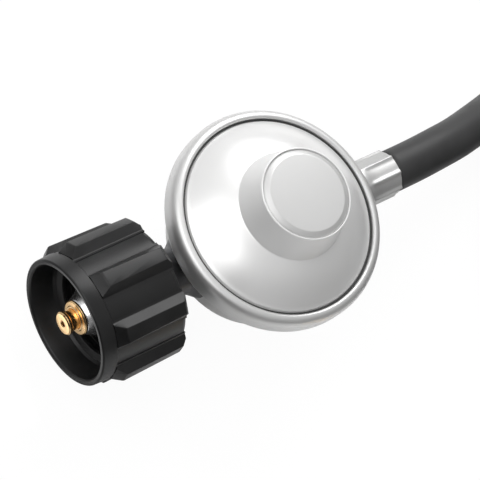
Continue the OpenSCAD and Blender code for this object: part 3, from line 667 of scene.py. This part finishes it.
def make_neck(finish):
    """The darker boss that takes the nipple."""
    inlet = soften([(6.7, -26.3), (6.7, -37.5, 0.3), (8, -37.5, 0.5), (8, -31.3, 3), (10.8, -27.6),
                    (10.8, -26.3)], closed=True)
    turned_piece("inlet_neck", finish, inlet, PIPE, PIPE_STEPS, "cast_body", "regulator")


def make_groove_shade_ring(finish):
    """A dark rubber ring in the groove between the rim and the dome: painted shade, a dark ring that stands
    for the groove's shadow.
    """
    outline = soften([(31.6, 17.1), (32.35, 17.1), (32.35, 17.8, 0.2), (31.6, 17.8, 0.2)], closed=True)
    turned_piece("groove_seal", finish, outline, DISC, SEAL_STEPS, "soft_rubber", "regulator")


def cut_vent(shell):
    """Drills the vent square to the dome's slope."""
    u = (DOME_R - VENT_REACH) / (DOME_R - TOWER_R)
    height = STEP + (TOWER_FOOT - STEP) * u + BULGE * math.sin(math.pi * u)
    slope = math.atan2(TOWER_FOOT - STEP + BULGE * math.pi * math.cos(math.pi * u), DOME_R - TOWER_R)
    round_axis = DISC @ Matrix.Rotation(math.radians(VENT_TURN), 4, "Z")
    place = round_axis @ Matrix.Translation((VENT_REACH, 0, height)) @ Matrix.Rotation(slope, 4, "Y")
    shape, reach = bmesh.new(), 4
    turn(shape, [(0, -reach), (VENT_R, -reach), (VENT_R, reach), (0, reach)], place, steps=VENT_STEPS)
    drill = as_piece("vent_drill", shape, shell.data.materials[0])
    cut = shell.modifiers.new("vent", "BOOLEAN")
    cut.operation, cut.solver, cut.object = "DIFFERENCE", "EXACT", drill
    graph = bpy.context.evaluated_depsgraph_get()
    drilled = bpy.data.meshes.new_from_object(shell.evaluated_get(graph))
    shell.modifiers.clear()
    shell.data = drilled
    drilled.set_sharp_from_angle(angle=math.radians(SHARP))
    bpy.data.objects.remove(drill)


def make_bonnet(finish):
    """The spun shell: flange, dome and tower, with its inside."""
    shape = bmesh.new()
    dome, pieces = [], 24
    for i in range(pieces + 1):
        u = i / pieces
        dome.append((DOME_R + (TOWER_R - DOME_R) * u,
                     STEP + (TOWER_FOOT - STEP) * u + BULGE * math.sin(math.pi * u)))
    edge, flange_top = SEAT_R - 0.1, FLANGE_TOP - 0.05
    outline = [Vector(p) for p in ((29.1, FLANGE), (edge, FLANGE), (edge, flange_top))]
    outline += soften([(edge, flange_top), (32.25, flange_top, 0.3), (31.75, 17.6, 0.4), (31.3, 18.5, 0.6),
                       dome[0]])[1:]
    outline += [Vector(p) for p in dome[1:-1]]
    outline += soften([dome[-2], (TOWER_R, TOWER_FOOT, 0.7), (15.1, TOWER_TOP - 0.3, 0.6),
                       (14.6, TOWER_TOP, 0.35), (14.45, TOWER_TOP - 0.4), (14.45, CAP_FOOT), (12.6, 36.0),
                       (12.6, TOWER_FOOT)])[1:]
    outline += [Vector((r - SHELL_WALL, z - SHELL_WALL)) for r, z in reversed(dome[:-1])]
    turn(shape, outline, DISC, ring=True, steps=DOME_STEPS)
    shell = as_piece("bonnet_shell", shape, finish)
    cut_vent(shell)
    finish_piece(shell, "spun_bonnet", "regulator", "bonnet")


def make_cap(finish):
    """The flat cap on the tower."""
    outline = soften([(0, CAP_FOOT), (14.4, CAP_FOOT, 0.3), (14.4, 38.0, 0.25), (13.9, 38.45, 0.5),
                      (12.5, CAP_TOP, 0.9), (0, CAP_TOP)])
    turned_piece("cap_disc", finish, outline, DISC, SEAL_STEPS, "cap_metal", "regulator", "cap", ring=False)


# ---------- cylinder coupling ----------

NUT_FRONT, NUT_REAR, COLLAR_REAR, NUT_FLOOR, THREAD_FRONT = -74.2, -43.2, -69.1, -47.2, -64.8
THREAD_PITCH, THREAD_ROOT, THREAD_CREST = 5.08, 17.0, 14.8
RIB_COUNT, RIB_FIRST = 8, 36       # grip ribs, and the angle of the first one in degrees
RIB_WALL, RIB_LOW, RIB_HIGH, RIB_ROOT, RIB_FOOT_HALF = 20.75, 20.98, 23.7, 18.9, 4.15
RIB_CORNERS = 14                   # points on half of a rib's outline
BUSH_BORE, BUSH_NECK, BUSH_R, BUSH_FRONT, BUSH_STEP, BUSH_REAR = 6.95, 7.95, 14.2, -55.5, -47.5, -43.0
NIPPLE_BORE, SOCKET_R, STEM_R, TAIL_R, CONE_R = 2.6, 4.6, 6.9, 6.6, 12.3
NOSE_FRONT, SOCKET_FLOOR, CONE_REAR, STEM_REAR, TAIL_REAR = -69.2, -54.0, -55.8, -37.52, -28.1
PROBE_BORE, PROBE_R, TIP_R, PROBE_FRONT, FOOT_FRONT, FOOT_REAR = 1.0, 3.2, 3.85, -74.7, -62.9, -61.9
GUIDE_BORE, GUIDE_R, GUIDE_REAR, GUIDE_FRONT, GUIDE_LEDGE = 3.26, 4.55, -63.3, -70.55, -70.2


def rib_geometry(finish):
    """A node tree that sets copies of one grip rib round the pipe axis."""
    tree = bpy.data.node_groups.new("grip_ribs", "GeometryNodeTree")
    tree.interface.new_socket("Rib", in_out="INPUT", socket_type="NodeSocketGeometry")
    count = tree.interface.new_socket("Count", in_out="INPUT", socket_type="NodeSocketInt")
    first = tree.interface.new_socket("First angle", in_out="INPUT", socket_type="NodeSocketFloat")
    tree.interface.new_socket("Ribs", in_out="OUTPUT", socket_type="NodeSocketGeometry")
    node, link = tree.nodes.new, tree.links.new
    source, sink = node("NodeGroupInput"), node("NodeGroupOutput")
    spots = node("GeometryNodeMeshLine")
    spots.inputs["Offset"].default_value = (0, 0, 0)
    link(source.outputs["Count"], spots.inputs["Count"])
    index = node("GeometryNodeInputIndex").outputs[0]
    share = maths(tree, "DIVIDE", index, source.outputs["Count"])
    angle = maths(tree, "ADD", maths(tree, "MULTIPLY", share, 2 * math.pi), source.outputs["First angle"])
    spin = node("ShaderNodeCombineXYZ")
    link(angle, spin.inputs["X"])
    place = node("GeometryNodeInstanceOnPoints")
    link(spots.outputs["Mesh"], place.inputs["Points"])
    link(source.outputs["Rib"], place.inputs["Instance"])
    link(spin.outputs[0], place.inputs["Rotation"])
    real = node("GeometryNodeRealizeInstances")
    paint = node("GeometryNodeSetMaterial")
    paint.inputs["Material"].default_value = finish
    link(place.outputs["Instances"], real.inputs[0])
    link(real.outputs[0], paint.inputs["Geometry"])
    link(paint.outputs[0], sink.inputs["Ribs"])
    return tree, count.identifier, first.identifier


def repeated(one, tree, values):
    """The plain mesh that a node tree makes of one shape."""
    modifier = one.modifiers.new("repeat", "NODES")
    modifier.node_group = tree
    for key, value in values.items():
        modifier[key] = value
    shown = one.evaluated_get(bpy.context.evaluated_depsgraph_get())
    mesh = bpy.data.meshes.new_from_object(shown)
    one.modifiers.clear()
    bpy.data.objects.remove(one)
    return mesh


def grip_rib():
    """One rib on the +Y side of the pipe axis, in millimetres. Each section is mirrored about it."""
    shape = bmesh.new()
    stations = []
    spread = RIB_FOOT_HALF + 0.9
    foot = [(spread, math.sqrt(RIB_WALL ** 2 - spread ** 2)),
            (RIB_FOOT_HALF, RIB_WALL + 0.02 - RIB_FOOT_HALF ** 2 / 42, 0.55)]
    for x, k in ((COLLAR_REAR + 0.1, 0.02), (COLLAR_REAR + 0.35, 0.08), (COLLAR_REAR + 2.5, 0.86),
                 (COLLAR_REAR + 2.85, 0.97), (COLLAR_REAR + 3.3, 1.0), (-60, 1), (-50, 1),
                 (NUT_REAR - 1.9, 1.0), (NUT_REAR - 1.55, 0.96), (NUT_REAR - 0.4, 0.42),
                 (NUT_REAR - 0.1, 0.3)):
        along = (x - COLLAR_REAR) / (NUT_REAR - COLLAR_REAR)
        top, width = RIB_LOW + (RIB_HIGH - 0.5 * along - RIB_LOW) * k, 2.55 - 0.4 * along
        top_half = width + (RIB_FOOT_HALF - width) * (1 - k) * 0.75
        half = soften(foot + [(top_half, top, 0.42), (0, top + 0.04)])
        half = (half + [half[-1]] * RIB_CORNERS)[:RIB_CORNERS]
        line = [(y, z) for z, y in half] + [(y, -z) for z, y in reversed(half[:-1])]
        line += [(RIB_ROOT, -RIB_FOOT_HALF), (RIB_ROOT, RIB_FOOT_HALF)]
        stations.append([shape.verts.new((x, y, z)) for y, z in line])
    skin(shape, stations, closed=False)
    shape.faces.new(stations[0])
    shape.faces.new(list(reversed(stations[-1])))
    bmesh.ops.remove_doubles(shape, verts=shape.verts, dist=WELD)
    bmesh.ops.recalc_face_normals(shape, faces=shape.faces)
    mesh = bpy.data.meshes.new("rib")
    shape.to_mesh(mesh)
    shape.free()
    rib = bpy.data.objects.new("rib", mesh)
    bpy.context.collection.objects.link(rib)
    return rib


def make_hand_nut(finish):
    """The ribbed nut with the rings of its thread inside."""
    shape = bmesh.new()
    wall = soften([(18.74, NUT_FRONT + 0.6, 0.4), (19.3, NUT_FRONT, 0.25), (20.35, NUT_FRONT, 0.3),
                   (20.73, NUT_FRONT + 0.45, 0.4), (20.98, COLLAR_REAR - 0.05, 0.15),
                   (20.6, COLLAR_REAR + 0.3, 0.1), (20.6, NUT_REAR - 1.2, 0.5), (20.1, NUT_REAR, 0.4),
                   (9.2, NUT_REAR, 0.3), (9.0, NUT_REAR - 0.8, 0.2), (8.05, NUT_REAR - 0.8),
                   (8.05, NUT_FLOOR), (THREAD_ROOT, NUT_FLOOR)])
    thread = [(THREAD_ROOT, NUT_FLOOR)]
    for i in reversed(range(int((NUT_FLOOR - THREAD_FRONT - 1.4) / THREAD_PITCH) + 1)):
        at = THREAD_FRONT + 0.8 + i * THREAD_PITCH
        thread += [(THREAD_ROOT, at + 1.35, 0.25), (THREAD_CREST, at + 0.7, 0.25),
                   (THREAD_CREST, at - 0.7, 0.25), (THREAD_ROOT, at - 1.35, 0.25)]
    thread += [(THREAD_ROOT, THREAD_FRONT - 0.7), (17.6, THREAD_FRONT - 1.6, 0.6), (18.7, NUT_FRONT + 0.7)]
    wall += soften(thread)[1:]
    turn(shape, wall, PIPE, ring=True, steps=NUT_STEPS)
    tree, count_key, first_key = rib_geometry(finish)
    values = {count_key: RIB_COUNT, first_key: math.radians(RIB_FIRST)}
    ribs = repeated(grip_rib(), tree, values)
    ribs.transform(Matrix.Translation((DISC_X, 0, AXIS_Z)))
    shape.from_mesh(ribs)
    bpy.data.meshes.remove(ribs)
    nut = as_piece("hand_nut", shape, finish, sharp=28)
    finish_piece(nut, "nut_plastic", "coupling_nut", "coupling_nut")


def make_bushing(finish):
    """The ring that carries the nut on the nipple."""
    outline = soften([(BUSH_BORE, BUSH_FRONT), (BUSH_R - 0.6, BUSH_FRONT, 0.3),
                      (BUSH_R, BUSH_FRONT + 0.6, 0.3), (BUSH_R, BUSH_STEP, 0.3), (BUSH_NECK, BUSH_STEP, 0.3),
                      (BUSH_NECK, BUSH_REAR, 0.25), (BUSH_BORE, BUSH_REAR)], closed=True)
    turned_piece("thermal_ring", finish, outline, PIPE, BUSH_STEPS, "bushing_plastic", "thermal_bushing",
                 "thermal_bushing")


def make_nipple(finish):
    """The plated nipple with its cone, shoulder and stem."""
    outline = soften([(NIPPLE_BORE, SOCKET_FLOOR), (SOCKET_R, SOCKET_FLOOR), (SOCKET_R, NOSE_FRONT),
                      (5.5, NOSE_FRONT, 0.1), (5.75, NOSE_FRONT + 0.3, 0.15), (CONE_R, CONE_REAR - 1.2, 0.4),
                      (CONE_R, CONE_REAR, 0.3), (STEM_R, CONE_REAR, 0.3), (STEM_R, STEM_REAR),
                      (TAIL_R, STEM_REAR), (TAIL_R, TAIL_REAR), (NIPPLE_BORE, TAIL_REAR)], closed=True)
    turned_piece("nipple_cone", finish, outline, PIPE, CONE_STEPS, "plated_nipple", "regulator",
                 "inlet_nipple")


def make_probe(finish):
    """The brass probe with its flat tip, neck and tail."""
    outline = soften([(PROBE_BORE, FOOT_REAR), (PROBE_BORE, PROBE_FRONT + 0.2, 0.05),
                      (1.25, PROBE_FRONT, 0.1), (TIP_R - 0.5, PROBE_FRONT, 0.12),
                      (TIP_R, PROBE_FRONT + 0.45, 0.18), (TIP_R, PROBE_FRONT + 1.2, 0.15),
                      (3.45, PROBE_FRONT + 1.55, 0.15), (PROBE_R, PROBE_FRONT + 1.7, 0.2),
                      (PROBE_R, FOOT_FRONT), (4.3, FOOT_FRONT, 0.1), (4.3, FOOT_REAR, 0.1)], closed=True)
    turned_piece("probe_tip", finish, outline, PIPE, PIPE_STEPS, "brass", "probe", "probe")


def make_probe_collar(finish):
    """The brass flange and sleeve round the probe."""
    outline = soften([(GUIDE_BORE, GUIDE_REAR), (GUIDE_BORE, GUIDE_FRONT + 0.15, 0.1),
                      (3.45, GUIDE_FRONT, 0.08), (3.9, GUIDE_FRONT, 0.12), (4.2, GUIDE_LEDGE, 0.12),
                      (5.3, GUIDE_LEDGE, 0.15), (5.7, GUIDE_LEDGE + 0.4, 0.15),
                      (5.7, NOSE_FRONT - 0.02, 0.1), (GUIDE_R, NOSE_FRONT - 0.02), (GUIDE_R, GUIDE_REAR)],
                     closed=True)
    turned_piece("probe_collar", finish, outline, PIPE, PIPE_STEPS, "brass", "regulator", "probe_guide")


# ---------- springs ----------


def make_spring(name, node, wire, finish, along_x=False):
    """A coil spring in its node's box."""
    low, high = (Vector(corner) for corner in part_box(node))
    middle = (low + high) / 2
    way = 0 if along_x else 2
    length = high[way] - low[way]
    coil_r = (high.y - low.y) / 2 - wire * MM
    rise = length - 2 * wire * MM
    steps = SPRING_TURNS * SPRING_POINTS
    points = []
    for i in range(steps + 1):
        a = 2 * math.pi * SPRING_TURNS * i / steps
        points.append(Vector((coil_r * math.cos(a), coil_r * math.sin(a), wire * MM + rise * i / steps)))
    spring = sweep_of(points, wire * MM, SPRING_SIDES, name)
    foot = Vector((low.x, middle.y, middle.z)) if along_x else Vector((middle.x, middle.y, low.z))
    place = Matrix.Translation(foot)
    if along_x:
        place = place @ Matrix.Rotation(math.radians(90), 4, "Y")
    spring.data.transform(place)
    spring.data.materials.append(finish)
    finish_piece(spring, "spring_steel", "regulator", node)
    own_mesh(spring)


# ---------- hose ends ----------

FERRULE_LEN, FERRULE_R, FERRULE_BORE = 13.9, 7.98, 7.02
CRIMPS, CRIMP_FIRST = 8, 18        # ridges round the ferrule, and the angle of the first one in degrees
# The crimp's shape from one ridge to the next, as degrees from the ridge and the radius there.
CRIMP_SHAPE = ((-9.0, 7.46), (-6.5, 7.6), (-4.0, 7.88), (-1.8, 8.12), (0, 8.19), (1.8, 8.12), (4.0, 7.88),
               (6.5, 7.6), (9.0, 7.46), (14, 7.42), (22.5, 7.4), (31, 7.42))
# How far along the ferrule, and how much of the crimp shows there.
CRIMP_ALONG = ((0.0, 0.0), (0.25, 0.0), (1.6, 0.15), (2.8, 1.0), (7.0, 1.0), (FERRULE_LEN - 0.7, 1.0),
               (FERRULE_LEN - 0.25, 0.9), (FERRULE_LEN, 0.72))


def crimped(name, start, away, finish, node, centre):
    """A crimped ferrule: flats between narrow ridges, drawn in a little at the hose's side."""
    shape = bmesh.new()
    rows = []
    for x, crimp in CRIMP_ALONG:
        row = []
        plain = FERRULE_R if x > 0.1 else FERRULE_R - 0.23
        lip = 0.12 if x > FERRULE_LEN - 0.1 else 0
        for k in range(CRIMPS):
            for from_ridge, radius in CRIMP_SHAPE:
                r = plain + (radius - lip - plain) * crimp
                a = math.radians(CRIMP_FIRST + k * 360 / CRIMPS + from_ridge)
                row.append((x, r * math.cos(a), r * math.sin(a)))
        rows.append(row)
    for x in (FERRULE_LEN, 0.0):
        rows.append([(x, y * FERRULE_BORE / math.hypot(y, z), z * FERRULE_BORE / math.hypot(y, z))
                     for _, y, z in rows[0]])
    grid = []
    for row in rows:
        grid.append([shape.verts.new((start + away * x + centre[0], away * y + centre[1], z + centre[2]))
                     for x, y, z in row])
    skin(shape, grid)
    finish_piece(as_piece(name, shape, finish, sharp=24), "ferrule_metal", "regulator", node)


FLARE_FROM, FLARE_LEN, FLARE_NECK, FLARE_SHOULDER = 16.3, 20.0, 5.05, 4.6
FLARE_ROOT, FLARE_CREST, FLARE_RINGS, FLARE_PITCH = 7.52, 7.2, 13, 0.78
CHAMFER_STEPS, CHAMFER_X, CHAMFER_R = 5, 0.22, 0.33


def make_flare_nut(finish, end):
    """Hex nut with turned chamfers and a threaded mouth, beyond the far ferrule."""
    front, rear, apothem = FLARE_FROM, FLARE_FROM + FLARE_LEN, FLARE_AF / 2
    corner = apothem / math.cos(math.radians(30))
    angles = [2 * math.pi * k / PIPE_STEPS for k in range(PIPE_STEPS)]

    def row_at(x, radii):
        return [(x, r * math.cos(a + math.pi / 2), r * math.sin(a + math.pi / 2))
                for r, a in zip(radii, angles)]

    def round_row(x, radius):
        return row_at(x, [radius] * PIPE_STEPS)

    def hex_row(x, limit):
        wraps = [(a + math.pi / 6) % (math.pi / 3) - math.pi / 6 for a in angles]
        return row_at(x, [min(apothem / math.cos(wrap), limit, corner - 0.12) for wrap in wraps])

    rows = [round_row(front, apothem - 0.5), round_row(front + 0.05, apothem - 0.25)]
    for i in range(CHAMFER_STEPS):
        rows.append(hex_row(front + 0.1 + i * CHAMFER_X, apothem - 0.1 + i * CHAMFER_R))
    for i in range(CHAMFER_STEPS):
        rows.append(hex_row(rear - 0.98 + i * CHAMFER_X, apothem + 1.22 - i * CHAMFER_R))
    mouth = rear - 0.8
    rows += [round_row(rear, apothem - 0.5), round_row(rear, 8.4), round_row(mouth, 7.5)]
    for i in range(FLARE_RINGS):
        x = mouth - 0.4 - i * FLARE_PITCH
        rows += [round_row(x, FLARE_CREST), round_row(x - 0.2, FLARE_CREST), round_row(x - 0.39, FLARE_ROOT)]
    shoulder = front + FLARE_SHOULDER
    rows += [round_row(shoulder, 7.5), round_row(shoulder, FLARE_NECK), round_row(front, FLARE_NECK)]
    shape = bmesh.new()
    grid = [[shape.verts.new((end.x - x, end.y - y, end.z + z)) for x, y, z in row] for row in rows]
    skin(shape, grid)
    nut = as_piece("flare_nut_body", shape, finish, sharp=25)
    finish_piece(nut, "fitting_brass", "flare_nut", "flare_nut")


TIE_THICK, TIE_WIDTH, TIE_CORNER = 0.9, 3.6, 6
TIE_IN, TIE_OUT = 1.2, 1.0         # from the hose to the loop's outside, on the coil's inside and outside
TIES = (("tie_far", 0.125, "coil_ties"), ("tie_near", 0.375))
# A tie's section with its edges broken, as shares of its width and of its thickness.
TIE_SECTION = ((-0.5, 0.12), (-0.44, 0.0), (0.44, 0.0), (0.5, 0.12), (0.5, 0.88), (0.44, 1.0), (-0.44, 1.0),
               (-0.5, 0.88))


def strap_loop(inner, outer, top, centre_angle):
    """A flat tie as a rounded loop in the plane through the coil's axis."""
    shape = bmesh.new()
    line = soften([(inner, 0, TIE_CORNER), (outer, 0, TIE_CORNER), (outer, top, TIE_CORNER),
                   (inner, top, TIE_CORNER)], closed=True)
    n = len(line)
    across = Matrix.Translation((*COIL_AT, 0)) @ Matrix.Rotation(math.radians(centre_angle), 4, "Z")
    rows = []
    for i, p in enumerate(line):
        ahead = (line[(i + 1) % n] - line[i - 1]).normalized()
        inward = Vector((-ahead.y, ahead.x))
        ring = []
        for s, d in TIE_SECTION:
            q = p + inward * d * TIE_THICK
            ring.append(shape.verts.new(across @ Vector((q.x, s * TIE_WIDTH, q.y))))
        rows.append(ring)
    skin(shape, rows)
    return shape


def make_ties(finish):
    """Two ties round both layers of the coil, which stand for one node."""
    for name, turn_no, *nodes in TIES:
        radii = [COIL_R - COIL_PITCH * min(t, COIL_TURNS - t) for t in (turn_no, turn_no + 1)]
        inner, outer = min(radii) - HOSE_D / 2 - TIE_IN, max(radii) + HOSE_D / 2 + TIE_OUT
        top = COIL_LOW + COIL_STEP + HOSE_D / 2 + TIE_OUT
        tie = as_piece(name, strap_loop(inner, outer, top, 90 - 360 * turn_no), finish)
        finish_piece(tie, "tie_nylon", "regulator", *nodes)


def paint_nodes(finish, *names):
    """Gives a finish to nodes that show as they are."""
    for name in names:
        materials = frame["nodes"][name].data.materials
        materials.clear()
        materials.append(finish)


def main():
    aim_camera()
    hose, line, end = make_hose(hose_cover())
    set_light()
    lay_floor()
    dark_card()
    bounce_card()

    disc_axis, pipe_axis, brass_colour = (DISC_X, 0, AXIS_Z), (0, 0, AXIS_Z), (0.83, 0.62, 0.33)
    steel_rim = turned_metal("turned_rim", (0.62, 0.619, 0.616), 0.42, disc_axis, marks=3, depth=0.005,
                             metallic=0.85)
    dome = spun_shell("spun_dome", (0.76, 0.759, 0.756), 0.34, disc_axis)
    cap_face = turned_metal("cap_face", (0.57, 0.57, 0.567), 0.42, disc_axis, marks=3, depth=0.001,
                            tint=0.02, metallic=0.6)
    black = moulded_plastic("black_moulding", (0.005, 0.005, 0.0052), 0.33)
    dark = moulded_plastic("bushing_moulding", (0.006, 0.006, 0.0062), 0.4)
    grey = moulded_plastic("grey_moulding", (0.2, 0.2, 0.21), 0.5)
    brass = turned_metal("probe_brass", (1.0, 0.68, 0.35), 0.22, pipe_axis, along_x=True, marks=10)
    end_brass = turned_metal("fitting_brass", brass_colour, 0.28, (0, end.y, end.z), along_x=True, marks=8)
    barb_brass = turned_metal("barb_brass", brass_colour, 0.28, pipe_axis, along_x=True, marks=8)
    bright = turned_metal("bright_plating", (0.86, 0.86, 0.865), 0.26, pipe_axis, along_x=True, marks=5,
                          depth=0.003)
    crimp = turned_metal("crimped_metal", (0.50, 0.50, 0.497), 0.40, pipe_axis, along_x=True, marks=4,
                         metallic=0.7)
    steel = plain_wire("zinc_steel", (0.62, 0.62, 0.63), 0.35)
    wire = plain_wire("spring_wire", (0.45, 0.46, 0.48), 0.38)
    nitrile = plain_wire("nitrile", (0.03, 0.03, 0.03), 0.6, metallic=0)
    nylon = moulded_plastic("natural_nylon", (0.78, 0.78, 0.74), 0.4)

    make_housing(steel_rim)
    make_neck(turned_metal("dark_neck", (0.08, 0.08, 0.083), 0.42, pipe_axis, along_x=True, marks=4))
    make_bonnet(dome)
    make_groove_shade_ring(nitrile)
    make_cap(cap_face)
    make_hand_nut(black)
    make_bushing(dark)
    make_nipple(bright)
    make_probe(brass)
    make_probe_collar(brass)
    crimped("hose_ferrule", HOSE_FRONT - FERRULE_LEN, 1, crimp, "crimp_ferrule", pipe_axis)
    crimped("far_ferrule", 0, -1, crimp, "end_ferrule", end)
    make_flare_nut(end_brass, end)
    make_spring("load_spring", "main_spring", 0.8, wire)
    make_spring("return_spring", "probe_spring", 0.4, wire, along_x=True)
    make_ties(nylon)
    paint_nodes(steel, "vent_screen", "diaphragm_plate", "lever", "lever_pin", "lever_bracket",
                "bracket_screws")
    paint_nodes(barb_brass, "diaphragm_post", "valve_carriage", "orifice", "hose_barb")
    paint_nodes(nitrile, "diaphragm", "valve_pad", "hose_grip", "end_grip")
    paint_nodes(grey, "adjusting_screw")
    paint_nodes(end_brass, "end_stem")

    length = sum((b - a).length for a, b in zip(line, line[1:]))
    ends = [bpy.data.objects[n] for n in ("tie_far", "tie_near", "hose_ferrule", "far_ferrule",
                                          "flare_nut_body")]
    ends += [frame["nodes"][n] for n in ("hose_grip", "end_grip", "end_stem")]
    tuple(line[0])
    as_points(line)

    bpy.context.scene.view_settings.view_transform = "Standard"


main()
